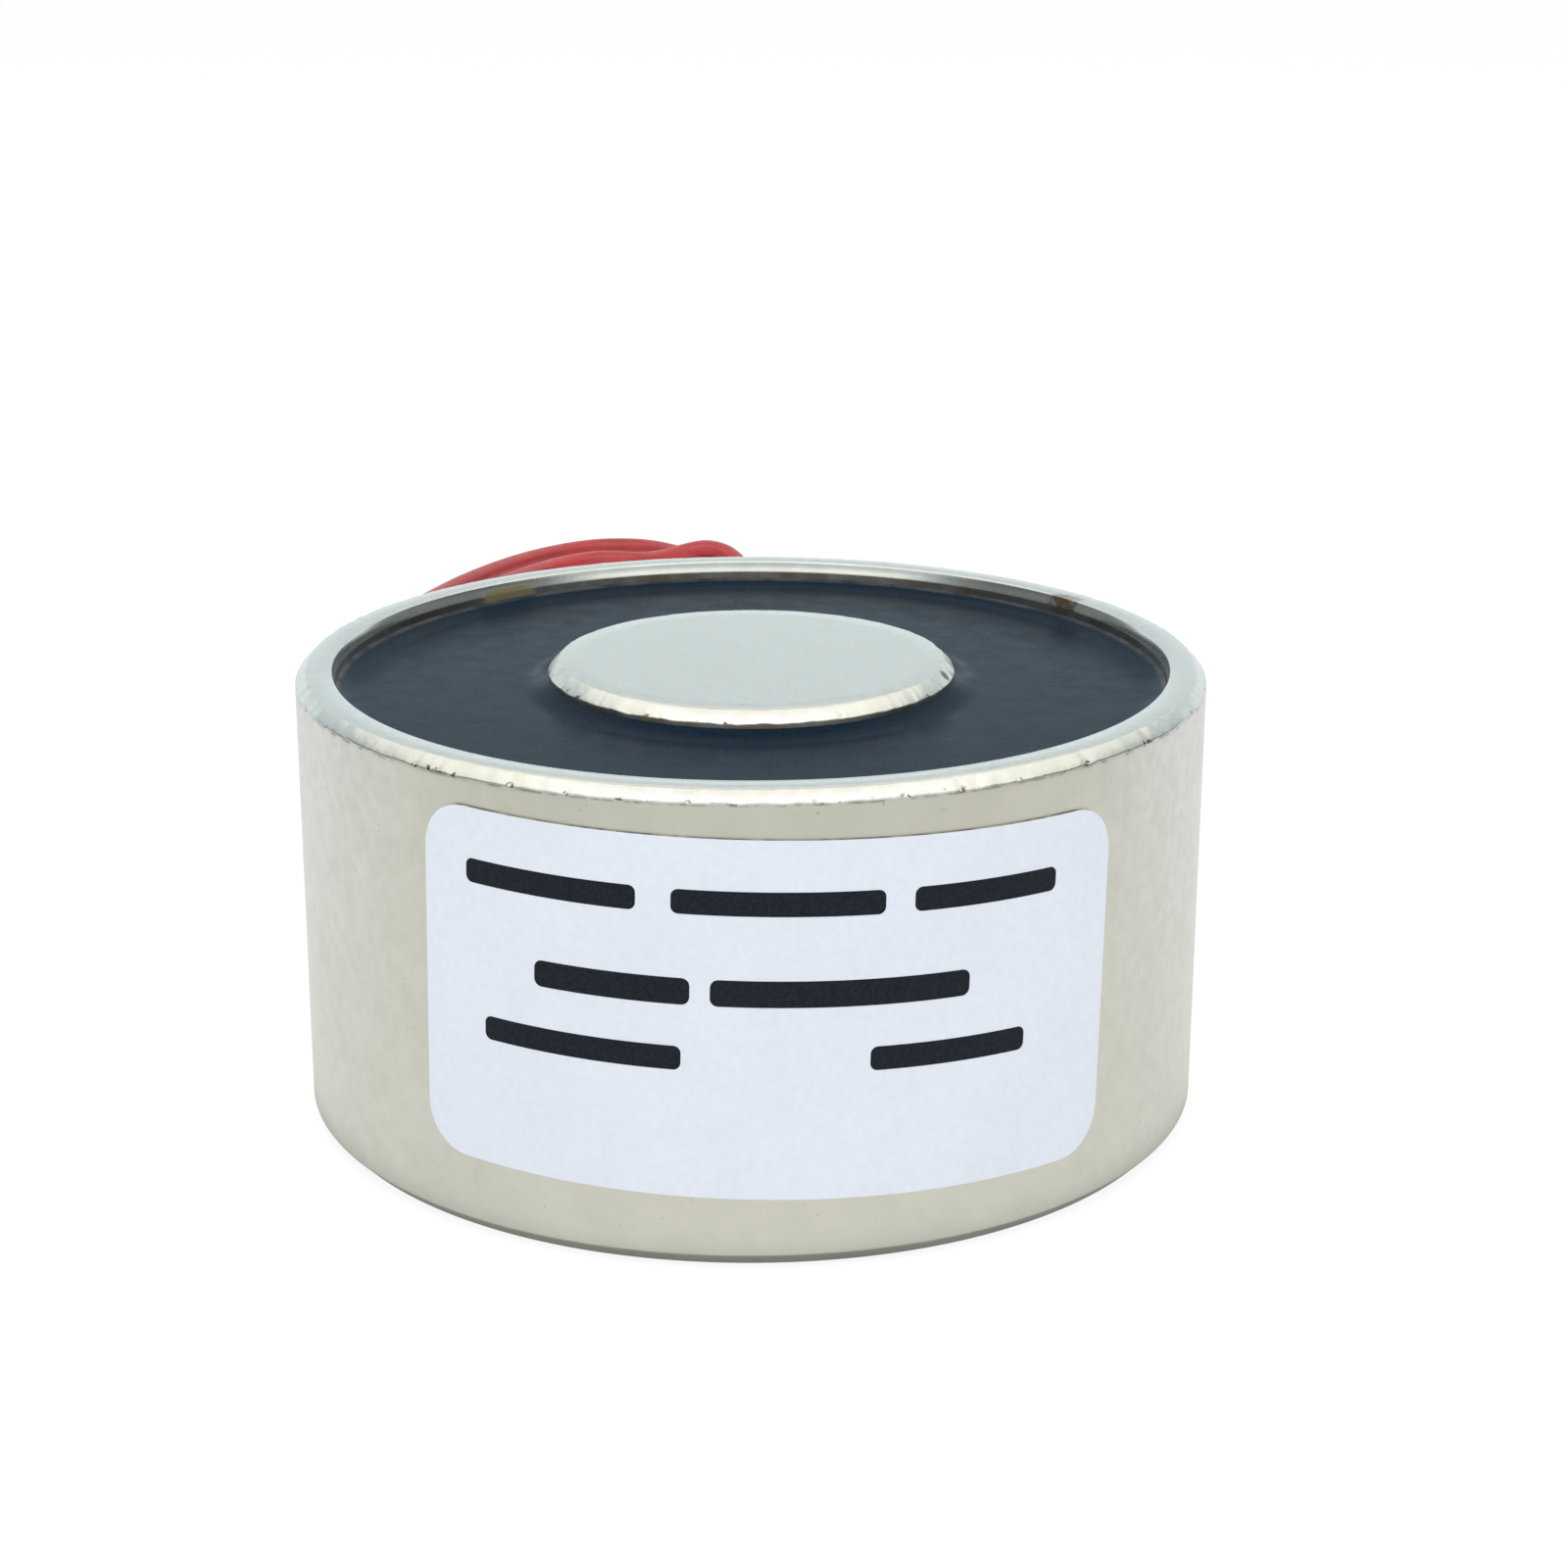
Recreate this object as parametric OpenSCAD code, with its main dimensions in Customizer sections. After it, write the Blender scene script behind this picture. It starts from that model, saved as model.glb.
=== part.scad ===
// Holding electromagnet: a turned iron cup with a centre pole, a potted coil in its groove,
// a label on its wall and two thin leads that leave through the wall near the base.
// Millimetres. The mounting face lies on z = 0 and the holding face looks up.
// The label is on the -Y side and the leads leave on the +Y side.

/* [Yoke] */
// Outer diameter of the iron cup
body_d = 40; // [38:0.5:60]
// Height from the mounting face to the holding face
body_h = 20; // [18.5:0.5:32]
// Thickness of the outer ring
wall_t = 1.7; // [1.6:0.1:3]
// Thickness of the iron under the coil
base_t = 5; // [4:0.25:7]
// Diameter of the centre pole
pole_d = 18; // [14:0.5:19]
// Chamfer on the outer edge of the holding face
rim_chamfer = 0.45; // [0.1:0.05:0.7]
// Height of the steep chamfer on the inner edge of the ring
lip_chamfer = 0.5; // [0.1:0.05:0.7]
// Width of that chamfer
lip_width = 0.1; // [0.05:0.05:0.4]
// Chamfer round the pole face
pole_chamfer = 0.5; // [0.1:0.05:0.7]
// Chamfer round the mounting face
foot_chamfer = 0.6; // [0.1:0.05:0.8]

/* [Mounting thread] */
// Core diameter of the tapped hole in the mounting face
thread_core_d = 4.2; // [3.3:0.1:6.8]
// Depth of the tapped hole's straight wall
thread_depth = 8; // [5:0.5:12]
// Width of the countersink ring round the hole
thread_lead_in = 0.6; // [0.3:0.1:1]
// Angle of the drill point at the hole's end
drill_angle = 118; // [90:1:140]

/* [Lead outlet] */
// Diameter of the hole in the ring that the leads leave by
outlet_d = 4.8; // [4.6:0.1:6]
// Height of the hole's lowest point above the groove floor
outlet_lift = 0.4; // [0.2:0.1:1.5]
// Depth of the resin inside the hole's mouth
outlet_recess = 0.3; // [0.1:0.1:0.8]

/* [Coil] */
// Wall of the coil former's hub
hub_t = 0.8; // [0.5:0.1:1.5]
// Thickness of each flange of the former
flange_t = 0.9; // [0.7:0.1:1.5]
// Gap between the flanges and the ring
flange_gap = 0.5; // [0.4:0.1:0.8]
// Depth of the winding's surface inside the flanges
winding_inset = 2.8; // [2.4:0.1:3]
// Thickness of the tape round the winding
tape_t = 0.2; // [0.1:0.05:0.3]
// Bare edge of the winding beside the tape
tape_edge = 0.7; // [0.6:0.1:1.2]
// Diameter of the winding wire's two ends
tail_d = 0.4; // [0.2:0.05:0.5]
// Space beside and under the wire in the former's slot
slot_clear = 0.15; // [0.05:0.05:0.25]

/* [Splices] */
// Wall of the sleeve over each splice
sleeve_t = 0.2; // [0.1:0.05:0.25]
// Gap between each sleeve and the tape
sleeve_gap = 0.1; // [0.05:0.05:0.2]
// Length of each sleeve
sleeve_len = 7.5; // [6:0.5:8]
// Length of insulated lead inside its sleeve
sleeve_grip = 1.5; // [1:0.25:2.5]
// Angle from the outlet to the middle of each sleeve
sleeve_turn = 24; // [22:0.5:32]
// Length of soldered joint past the sleeve
joint_end = 1.2; // [0.8:0.1:2]

/* [Resin] */
// Depth of the resin below the holding face
resin_recess = 1.1; // [0.8:0.1:2]
// Resin over the coil former
resin_cover = 1.6; // [1:0.1:2.5]
// Rise of the resin against the pole
pole_rise = 0.4; // [0.05:0.05:0.4]
// Rise of the resin against the ring
ring_rise = 0.3; // [0.05:0.05:0.4]
// Width of the risen edge of the resin
rise_width = 1.2; // [0.4:0.1:1.6]

/* [Leads] */
// Diameter of each insulated lead
lead_d = 1.4; // [1:0.1:1.5]
// Gap between the two leads in the outlet
lead_gap = 0.3; // [0.2:0.1:0.5]
// Diameter of each bare tip
tip_d = 0.7; // [0.4:0.1:0.9]
// Length of each bare tip
tip_len = 6; // [3:0.5:8]

/* [Label] */
// Length of the label along the wall
label_w = 30; // [20:1:40]
// Height of the label
label_h = 15; // [8:0.5:15]
// Corner radius of the label
label_corner = 2; // [0.5:0.25:4]
// Thickness of the label
label_t = 0.1; // [0.05:0.05:0.2]
// Distance from the holding face to the label's upper edge
label_drop = 1.9; // [1.5:0.1:2.5]
// Turn of the label away from the front
label_turn = 2.4; // [-10:0.2:10]
// Slope of the label along the wall
label_slope = 1.4; // [0:0.1:2]

/* [Hidden] */
$fn = 96;

// A cut reaches this far past the face that it opens
eps = 0.1;

// Yoke
body_r = body_d / 2;
pole_r = pole_d / 2;
groove_r = body_r - wall_t;
thread_r = thread_core_d / 2;
thread_mouth_r = thread_r + thread_lead_in;
outlet_z = base_t + outlet_lift + outlet_d / 2;

// Coil
resin_z = body_h - resin_recess;
former_top = resin_z - resin_cover;
hub_r = pole_r + hub_t;
flange_r = groove_r - flange_gap;
winding_r = flange_r - winding_inset;
winding_low = base_t + flange_t;
winding_high = former_top - flange_t;
tape_r = winding_r + tape_t;
slot_w = tail_d + 2 * slot_clear;

// Splices: each lies along the tape, left of the outlet for lead 1 and right of it for lead 2
LEFT = -1;
RIGHT = 1;
sleeve_r = lead_d / 2 + sleeve_t;
sleeve_axis_r = tape_r + sleeve_gap + sleeve_r;

// Wire ends: each stands under the bare end of its joint, and the first passes the former's slot there
tail_at = sleeve_len / 2 + joint_end / 2;
tail_r = norm([sleeve_axis_r, tail_at]);
tail_bend = tail_d;
slot_angle = 90 + sleeve_turn + atan2(tail_at, sleeve_axis_r);

// Leads: each bends from its sleeve into the outlet and then runs straight out
lead_x = (lead_d + lead_gap) / 2;
lead_bend = 2 * lead_d;
lead_bend_y = (sleeve_axis_r + lead_bend - sin(sleeve_turn) * (lead_x + lead_bend)) / cos(sleeve_turn);
lead_straight = 2 * lead_d;
bend_steps = 4;
lead_rings = 32;

// Route of each lead past the outlet: sideways, behind the body, height of its centre
ROUTE_1 = [
    [-1.5, 7, 6.6], [-3, 11, 4.2], [-5.5, 15, 1.9], [-9.5, 19.5, 0.8], [-14.5, 23.5, 0.7],
    [-20, 28.5, 0.7], [-24, 35, 0.7], [-26.5, 43, 0.7], [-27, 51.5, 0.7], [-26, 60, 0.7],
    [-23.8, 68, 0.7], [-21, 75.2, 0.7], [-17.3, 81.5, 0.7], [-13, 85.4, 0.7], [-9, 85.8, 0.7],
    [-6, 83.6, 0.7], [-4, 80.2, 0.7], [-3.3, 76, 0.7], [-4, 71, 0.7], [-6.5, 65.5, 0.7],
    [-10.5, 60, 0.7], [-13.5, 53.5, 0.7], [-13.5, 46.5, 0.7], [-10.5, 40, 0.7], [-6.5, 34, 0.7],
    [-3.5, 27.5, 0.7], [-2.5, 20.5, 0.7]
];
ROUTE_2 = [
    [1, 7, 6.6], [0, 11, 4.2], [-2.2, 15.6, 1.9], [-6.5, 20.8, 0.8], [-12, 25.5, 0.7],
    [-17, 30.5, 0.7], [-21, 36.5, 0.7], [-23.3, 43.5, 0.7], [-24, 51.5, 0.7], [-23.2, 59.5, 0.7],
    [-21.2, 67, 0.7], [-18.4, 73.8, 0.7], [-15.2, 79, 0.7], [-12, 81.5, 0.7], [-8.6, 80.8, 0.8],
    [-6.6, 79.5, 1.3], [-5, 78.9, 1.9], [-3.4, 78.7, 2.2], [-1.9, 77.8, 2], [-0.8, 75.9, 1.4],
    [-0.4, 73, 0.9], [0, 69.5, 0.7], [1.5, 65.5, 0.7], [6, 60.5, 0.7], [10, 54, 0.7],
    [11, 46.5, 0.7], [8.5, 40, 0.7], [5, 34, 0.7], [3, 27.5, 0.7], [2.5, 20.5, 0.7]
];

// Label: the sheet is cut straight through from the front, so its width there is a chord
label_chord = 2 * body_r * sin(label_w / body_d * 180 / PI);
label_z = body_h - label_drop - label_h / 2;
corner_steps = 8;

// Steps along the risen edge of the resin
rise_steps = 6;

// Point at radius r, angle a and height z
function polar(r, a, z) = [r * cos(a), r * sin(a), z];

// Points of an arc, from one angle to another
function arc(centre, r, from, to, steps) = [
    for (k = [0:steps])
        let(a = from + (to - from) * k / steps)
        centre + r * [cos(a), sin(a)]
];

// Points given as radius and height, set up at an angle round the axis
function upright(path, a) = [for (p = path) polar(p[0], a, p[1])];

// Point on a smooth curve through pts, u points along it
function curve_at(pts, u) =
    let(
        last = len(pts) - 1,
        i = min(floor(u), last - 1),
        t = u - i,
        b = pts[i],
        c = pts[i + 1],
        a = i > 0 ? pts[i - 1] : 2 * b - c,
        d = i < last - 1 ? pts[i + 2] : 2 * c - b
    )
    b + 0.5 * t * (c - a + t * (2 * a - 5 * b + 4 * c - d + t * (3 * b - a - 3 * c + d)));

// Smooth curve through pts in a number of even steps
function curve(pts, steps) = [for (k = [0:steps]) curve_at(pts, k * (len(pts) - 1) / steps)];

// Direction of a run of points at point i
function heading(pts, i) =
    let(step = pts[min(i + 1, len(pts) - 1)] - pts[max(i - 1, 0)])
    step / norm(step);

// Corners of a ring round point i, square to the run
function ring(pts, i, d, sides, aside) =
    let(
        ahead = heading(pts, i),
        across = cross(ahead, aside) / norm(cross(ahead, aside)),
        above = cross(across, ahead)
    )
    [for (k = [0:sides - 1])
        let(a = 360 * (k + 0.5) / sides)
        pts[i] + d / 2 * (cos(a) * across + sin(a) * above)];

// Tube of diameter d along a run of points that never heads the way of aside
module tube(pts, d, aside = [0, 0, 1], sides = 8) {
    last = len(pts) - 1;
    start_cap = [for (k = [sides - 1:-1:0]) k];
    end_cap = [for (k = [0:sides - 1]) last * sides + k];
    walls = [
        for (i = [0:last - 1], k = [0:sides - 1])
            let(next = (k + 1) % sides)
            [i * sides + k, i * sides + next, (i + 1) * sides + next, (i + 1) * sides + k]
    ];
    polyhedron(
        points = [for (i = [0:last]) each ring(pts, i, d, sides, aside)],
        faces = concat([start_cap], walls, [end_cap]),
        convexity = 10
    );
}

// Outline of a box with round corners, centred
function round_box(w, h, r, steps) = [
    for (corner = [[1, 1, 0], [-1, 1, 90], [-1, -1, 180], [1, -1, 270]], k = [0:steps])
        let(a = corner[2] + 90 * k / steps)
        [corner[0] * (w / 2 - r) + r * cos(a), corner[1] * (h / 2 - r) + r * sin(a)]
];

// Way that a sleeve points, from the outlet towards its far end
function sleeve_way(side) = [side * cos(sleeve_turn), -sin(sleeve_turn), 0];

// Point on a sleeve's axis, measured from its middle towards its far end
function sleeve_at(side, along) =
    [side * sleeve_axis_r * sin(sleeve_turn), sleeve_axis_r * cos(sleeve_turn), outlet_z]
    + along * sleeve_way(side);

// Inner run of a lead: out of its sleeve, round the bend and out through the ring
function lead_inside(side) = concat(
    [sleeve_at(side, sleeve_grip - sleeve_len / 2)],
    [for (k = [0:bend_steps])
        let(a = (90 - sleeve_turn) * (1 - k / bend_steps))
        [
            side * (lead_x + lead_bend * (1 - cos(a))),
            lead_bend_y - lead_bend * sin(a),
            outlet_z
        ]]
);

// Free run of a lead, from the mouth of the outlet
function lead_outside(side, route) = concat(
    [
        [side * lead_x, body_r + lead_straight / 2, outlet_z],
        [side * lead_x, body_r + lead_straight, outlet_z]
    ],
    [for (p = route) [p[0], body_r + p[1], p[2]]]
);

// Whole lead as a run of ring centres
function lead_run(side, route) = concat(
    lead_inside(side),
    curve(lead_outside(side, route), lead_rings)
);

// Bar of diameter d along a sleeve's axis
module sleeve_bar(side, from, to, d) {
    translate(sleeve_at(side, from))
        rotate([0, 90, atan2(sleeve_way(side)[1], sleeve_way(side)[0])])
            cylinder(d = d, h = to - from);
}

// Iron cup and pole, turned from one bar
module yoke() {
    color([0.80, 0.81, 0.80])
    difference() {
        rotate_extrude()
            polygon([
                [0, 0],
                [body_r - foot_chamfer, 0],
                [body_r, foot_chamfer],
                [body_r, body_h - rim_chamfer],
                [body_r - rim_chamfer, body_h],
                [groove_r + lip_width, body_h],
                [groove_r, body_h - lip_chamfer],
                [groove_r, base_t],
                [pole_r, base_t],
                [pole_r, body_h - pole_chamfer],
                [pole_r - pole_chamfer, body_h],
                [0, body_h]
            ]);
        mounting_hole();
        outlet_bar(groove_r - wall_t, body_r + eps);
    }
}

// Tapped hole with its countersink and drill point
module mounting_hole() {
    translate([0, 0, -eps])
        cylinder(r = thread_r, h = thread_depth + eps);
    translate([0, 0, thread_depth])
        cylinder(r1 = thread_r, r2 = 0, h = thread_r / tan(drill_angle / 2));
    translate([0, 0, -eps])
        cylinder(r1 = thread_mouth_r + eps, r2 = thread_r, h = thread_lead_in + eps);
}

// Round bar through the outlet, from one distance behind the axis to another
module outlet_bar(from, to) {
    translate([0, from, outlet_z])
        rotate([-90, 0, 0])
            cylinder(d = outlet_d, h = to - from);
}

// Moulded former, pressed over the pole, with a slot in its lower flange for the first wire
module coil_former() {
    color([0.92, 0.91, 0.86])
    difference() {
        rotate_extrude()
            polygon([
                [pole_r, base_t],
                [flange_r, base_t],
                [flange_r, winding_low],
                [hub_r, winding_low],
                [hub_r, winding_high],
                [flange_r, winding_high],
                [flange_r, former_top],
                [pole_r, former_top]
            ]);
        former_slot(base_t - eps, winding_low + eps);
    }
}

// Space of the slot in the former's lower flange, from one height to another
module former_slot(from, to) {
    rotate([0, 0, slot_angle])
        translate([hub_r, -slot_w / 2, from])
            cube([flange_r + flange_gap / 2 - hub_r, slot_w, to - from]);
}

// Copper winding, drawn as the block that its turns fill
module winding() {
    color([0.70, 0.38, 0.20])
    rotate_extrude()
        polygon([
            [hub_r, winding_low],
            [winding_r, winding_low],
            [winding_r, winding_high],
            [hub_r, winding_high]
        ]);
}

// Tape round the winding, short of both flanges
module winding_tape() {
    color([0.86, 0.70, 0.18])
    rotate_extrude()
        polygon([
            [winding_r, winding_low + tape_edge],
            [tape_r, winding_low + tape_edge],
            [tape_r, winding_high - tape_edge],
            [winding_r, winding_high - tape_edge]
        ]);
}

// Course of the first wire end: down from the winding, out along the slot and up into its joint
module start_wire() {
    inner_r = hub_r + tail_d;
    slot_z = base_t + tail_d / 2 + slot_clear;
    path = concat(
        [[inner_r, winding_low + tail_d]],
        arc([inner_r + tail_bend, slot_z + tail_bend], tail_bend, 180, 270, bend_steps),
        arc([tail_r - tail_bend, slot_z + tail_bend], tail_bend, 270, 360, bend_steps),
        [[tail_r, outlet_z]]
    );
    tube(upright(path, slot_angle), tail_d, polar(1, slot_angle + 90, 0));
}

// Course of the last wire end: off the winding's bare edge and up into its joint
module finish_wire() {
    finish_angle = 180 - slot_angle;
    finish_z = winding_low + tape_edge / 2;
    path = concat(
        [[winding_r - tail_d, finish_z]],
        arc([tail_r - tail_bend, finish_z + tail_bend], tail_bend, 270, 360, bend_steps),
        [[tail_r, outlet_z]]
    );
    tube(upright(path, finish_angle), tail_d, polar(1, finish_angle + 90, 0));
}

// Ends of the winding wire, from the winding's surface to the joint's
module start_tail() {
    color([0.76, 0.40, 0.20])
    difference() {
        start_wire();
        winding();
        joint_bar(LEFT);
    }
}

module finish_tail() {
    color([0.76, 0.40, 0.20])
    difference() {
        finish_wire();
        winding();
        joint_bar(RIGHT);
    }
}

// Soldered joint between a lead and a wire end
module joint_bar(side) {
    sleeve_bar(side, sleeve_grip - sleeve_len / 2, sleeve_len / 2 + joint_end, lead_d);
}

module splice_joint_1() {
    color([0.72, 0.73, 0.74])
    joint_bar(LEFT);
}

module splice_joint_2() {
    color([0.72, 0.73, 0.74])
    joint_bar(RIGHT);
}

// Sleeve over a joint and the end of its lead
module splice_sleeve(side) {
    color([0.10, 0.10, 0.11])
    difference() {
        sleeve_bar(side, -sleeve_len / 2, sleeve_len / 2, 2 * sleeve_r);
        sleeve_bar(side, -sleeve_len / 2 - eps, sleeve_len / 2 + eps, lead_d);
    }
}

module splice_sleeve_1() {
    splice_sleeve(LEFT);
}

module splice_sleeve_2() {
    splice_sleeve(RIGHT);
}

// Resin that fills the groove, the former's slot and the outlet, round everything in them
module potting() {
    outer_edge = [for (k = [0:rise_steps])
        let(t = k / rise_steps)
        [groove_r - t * rise_width, resin_z + ring_rise * pow(1 - t, 2)]];
    pole_edge = [for (k = [rise_steps:-1:0])
        let(t = k / rise_steps)
        [pole_r + t * rise_width, resin_z + pole_rise * pow(1 - t, 2)]];
    coil_side = [
        [pole_r, former_top],
        [flange_r, former_top],
        [flange_r, winding_high],
        [winding_r, winding_high],
        [winding_r, winding_high - tape_edge],
        [tape_r, winding_high - tape_edge],
        [tape_r, winding_low + tape_edge],
        [winding_r, winding_low + tape_edge],
        [winding_r, winding_low],
        [flange_r, winding_low],
        [flange_r, base_t]
    ];
    color([0.20, 0.23, 0.27])
    difference() {
        union() {
            rotate_extrude()
                polygon(concat([[groove_r, base_t]], outer_edge, pole_edge, coil_side));
            former_slot(base_t, winding_low);
            intersection() {
                outlet_bar(groove_r - flange_gap, body_r);
                cylinder(r = body_r - outlet_recess, h = body_h);
            }
        }
        start_wire();
        finish_wire();
        for (side = [LEFT, RIGHT]) {
            sleeve_bar(side, -sleeve_len / 2, sleeve_len / 2, 2 * sleeve_r);
            joint_bar(side);
            tube(concat(lead_inside(side), [lead_outside(side, [])[0]]), lead_d);
        }
    }
}

// Insulated leads
module lead_1() {
    color([0.75, 0.17, 0.19])
    tube(lead_run(LEFT, ROUTE_1), lead_d);
}

module lead_2() {
    color([0.75, 0.17, 0.19])
    tube(lead_run(RIGHT, ROUTE_2), lead_d);
}

// Bare tinned tip past the end of a lead
module lead_tip(run) {
    last = len(run) - 1;
    ahead = heading(run, last);
    color([0.78, 0.78, 0.79])
    translate(run[last])
        rotate([0, acos(ahead[2]), atan2(ahead[1], ahead[0])])
            cylinder(d = tip_d, h = tip_len);
}

module lead_tip_1() {
    lead_tip(lead_run(LEFT, ROUTE_1));
}

module lead_tip_2() {
    lead_tip(lead_run(RIGHT, ROUTE_2));
}

// Paper label wrapped on the wall
module label() {
    color([0.90, 0.92, 0.96])
    intersection() {
        difference() {
            cylinder(r = body_r + label_t, h = body_h);
            translate([0, 0, -eps])
                cylinder(r = body_r, h = body_h + 2 * eps);
        }
        rotate([0, 0, label_turn])
            translate([0, 0, label_z])
                rotate([90, 0, 0])
                    rotate([0, 0, -label_slope])
                        linear_extrude(body_d)
                            polygon(round_box(label_chord, label_h, label_corner, corner_steps));
    }
}

yoke();
coil_former();
winding();
winding_tape();
start_tail();
finish_tail();
splice_joint_1();
splice_joint_2();
splice_sleeve_1();
splice_sleeve_2();
potting();
lead_1();
lead_2();
lead_tip_1();
lead_tip_2();
label();
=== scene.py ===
import math

import bmesh
import bpy
from bpy.props import FloatProperty, FloatVectorProperty, IntProperty, PointerProperty
from mathutils import Matrix, Quaternion, Vector, noise


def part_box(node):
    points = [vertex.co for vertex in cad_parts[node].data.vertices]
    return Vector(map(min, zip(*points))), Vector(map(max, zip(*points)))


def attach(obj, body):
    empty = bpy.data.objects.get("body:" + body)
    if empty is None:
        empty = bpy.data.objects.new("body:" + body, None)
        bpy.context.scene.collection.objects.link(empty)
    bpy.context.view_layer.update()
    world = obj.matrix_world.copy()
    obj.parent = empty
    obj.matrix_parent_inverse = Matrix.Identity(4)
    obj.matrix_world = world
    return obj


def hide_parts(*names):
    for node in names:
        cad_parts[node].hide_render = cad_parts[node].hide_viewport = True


bl_info = {
    "name": "Holding Electromagnet",
    "version": (1, 0, 0),
    "blender": (4, 5, 0),
    "location": "View3D > Sidebar > Magnet",
    "description": "Dresses the packed solids of a potted holding electromagnet",
    "category": "Object",
}

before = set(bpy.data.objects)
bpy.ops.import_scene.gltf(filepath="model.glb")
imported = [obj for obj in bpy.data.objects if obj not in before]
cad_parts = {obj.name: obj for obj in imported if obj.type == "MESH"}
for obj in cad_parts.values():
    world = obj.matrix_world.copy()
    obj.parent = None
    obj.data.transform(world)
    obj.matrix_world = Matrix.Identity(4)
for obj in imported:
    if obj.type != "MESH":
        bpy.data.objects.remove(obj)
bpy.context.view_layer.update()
MM = 0.001
_, YOKE_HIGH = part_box("yoke")
RESIN_LOW, RESIN_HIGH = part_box("potting")
LEFT, RIGHT = -1, 1

# Routes of the leads past the outlet, in millimetres: sideways, behind the body, height of the centre
ROUTE_1 = [
    (-1.5, 7, 6.6), (-3, 11, 4.2), (-5.5, 15, 1.9), (-9.5, 19.5, 0.8), (-14.5, 23.5, 0.7),
    (-20, 28.5, 0.7), (-24, 35, 0.7), (-26.5, 43, 0.7), (-27, 51.5, 0.7), (-26, 60, 0.7),
    (-23.8, 68, 0.7), (-21, 75.2, 0.7), (-17.3, 81.5, 0.7), (-13, 85.4, 0.7), (-9, 85.8, 0.7),
    (-6, 83.6, 0.7), (-4, 80.2, 0.7), (-3.3, 76, 0.7), (-4, 71, 0.7), (-6.5, 65.5, 0.7),
    (-10.5, 60, 0.7), (-13.5, 53.5, 0.7), (-13.5, 46.5, 0.7), (-10.5, 40, 0.7), (-6.5, 34, 0.7),
    (-3.5, 27.5, 0.7), (-2.5, 20.5, 0.7),
]
ROUTE_2 = [
    (1, 7, 6.6), (0, 11, 4.2), (-2.2, 15.6, 1.9), (-6.5, 20.8, 0.8), (-12, 25.5, 0.7),
    (-17, 30.5, 0.7), (-21, 36.5, 0.7), (-23.3, 43.5, 0.7), (-24, 51.5, 0.7), (-23.2, 59.5, 0.7),
    (-21.2, 67, 0.7), (-18.4, 73.8, 0.7), (-15.2, 79, 0.7), (-12, 81.5, 0.7), (-8.6, 80.8, 0.8),
    (-6.6, 79.5, 1.3), (-5, 78.9, 1.9), (-3.4, 78.7, 2.2), (-1.9, 77.8, 2), (-0.8, 75.9, 1.4),
    (-0.4, 73, 0.9), (0, 69.5, 0.7), (1.5, 65.5, 0.7), (6, 60.5, 0.7), (10, 54, 0.7),
    (11, 46.5, 0.7), (8.5, 40, 0.7), (5, 34, 0.7), (3, 27.5, 0.7), (2.5, 20.5, 0.7),
]

# Larger chips on the lower edge of the rim chamfer: degrees to the right of the front, width in millimetres
CHIPS = [
    (-113, 0.5), (-42, 0.3), (-38.5, 0.3), (-35.8, 0.25), (-28, 0.35), (-21, 0.25), (-14.7, 0.3),
    (-11.8, 0.25), (-7, 0.25), (24, 0.3), (31.5, 0.35), (42, 0.4), (54, 0.4), (97, 0.35), (148, 0.4),
]

# Printed fields on the label, in millimetres from its middle: left end, right end, height, thickness
PRINT_FIELDS = [
    (-12.9, -5.5, 4.9, 1.0),
    (-4.1, 4.3, 4.9, 1.0),
    (5.5, 12.0, 4.9, 1.0),
    (-9.7, -3.3, 1.2, 1.1),
    (-2.5, 8.0, 1.2, 1.1),
    (-12.0, -3.6, -1.6, 1.0),
    (3.9, 10.7, -1.6, 1.0),
]

# Middles of the marks on the cup
RUST_AT = (14.6 * MM, 10.5 * MM, 20 * MM)
STAIN_AT = (-11.8 * MM, 13.9 * MM, 19.4 * MM)
NOTCH_AT = (8.42 * MM, -2.3 * MM, 19.75 * MM)

# Rings below a worn edge, in chamfer widths, that keep the wear out of the wall's shading
GUARD_RINGS = (2, 1.7)

# Corners of the cup's outline that are rounded: at the foot, at the rim and at the pole
ROUNDED = (slice(5, 8), slice(10, 14), slice(18, 20))

# Light that metal reflects, by the height of the ray: from all round, and from the strip in front
ROOM_TONES = {
    0: (0.95, 1.06, 1.13),
    0.19: (1.25, 1.40, 1.46),
    0.245: (0.80, 0.95, 1.06),
    0.3: (0.54, 0.66, 0.75),
    0.42: (0.62, 0.73, 0.79),
    0.6: (1.45, 1.45, 1.37),
    0.81: (1.45, 1.45, 1.37),
    0.91: (0.05, 0.05, 0.05),
    1: (0.05, 0.05, 0.05),
}
STRIP_TONES = {
    0.04: (0.84, 0.97, 1.06),
    0.1: (1.6, 1.6, 1.54),
    0.22: (1.6, 1.6, 1.54),
    0.34: (0.66, 0.76, 0.82),
}

# Light that metal reflects from the floor, from the front of the stage to its back
FLOOR_TONES = {
    0: (0.64, 0.63, 0.55),
    0.4: (0.90, 0.885, 0.785),
    1: (1.10, 1.12, 1.16),
}
WHITE = (1, 1, 1, 1)


def length(name, default, description):
    """Property for a size in metres."""
    return FloatProperty(name=name, description=description, default=default, unit="LENGTH", precision=5)


def colour(name, default, description):
    """Property for a linear colour."""
    return FloatVectorProperty(
        name=name, description=description, default=default, subtype="COLOR", size=3, min=0, max=1
    )


def angle(name, degrees, description):
    """Property for an angle."""
    return FloatProperty(name=name, description=description, default=math.radians(degrees), subtype="ANGLE")


def point(name, default, description):
    """Property for a place in metres."""
    return FloatVectorProperty(name=name, description=description, default=default, subtype="TRANSLATION")


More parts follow.
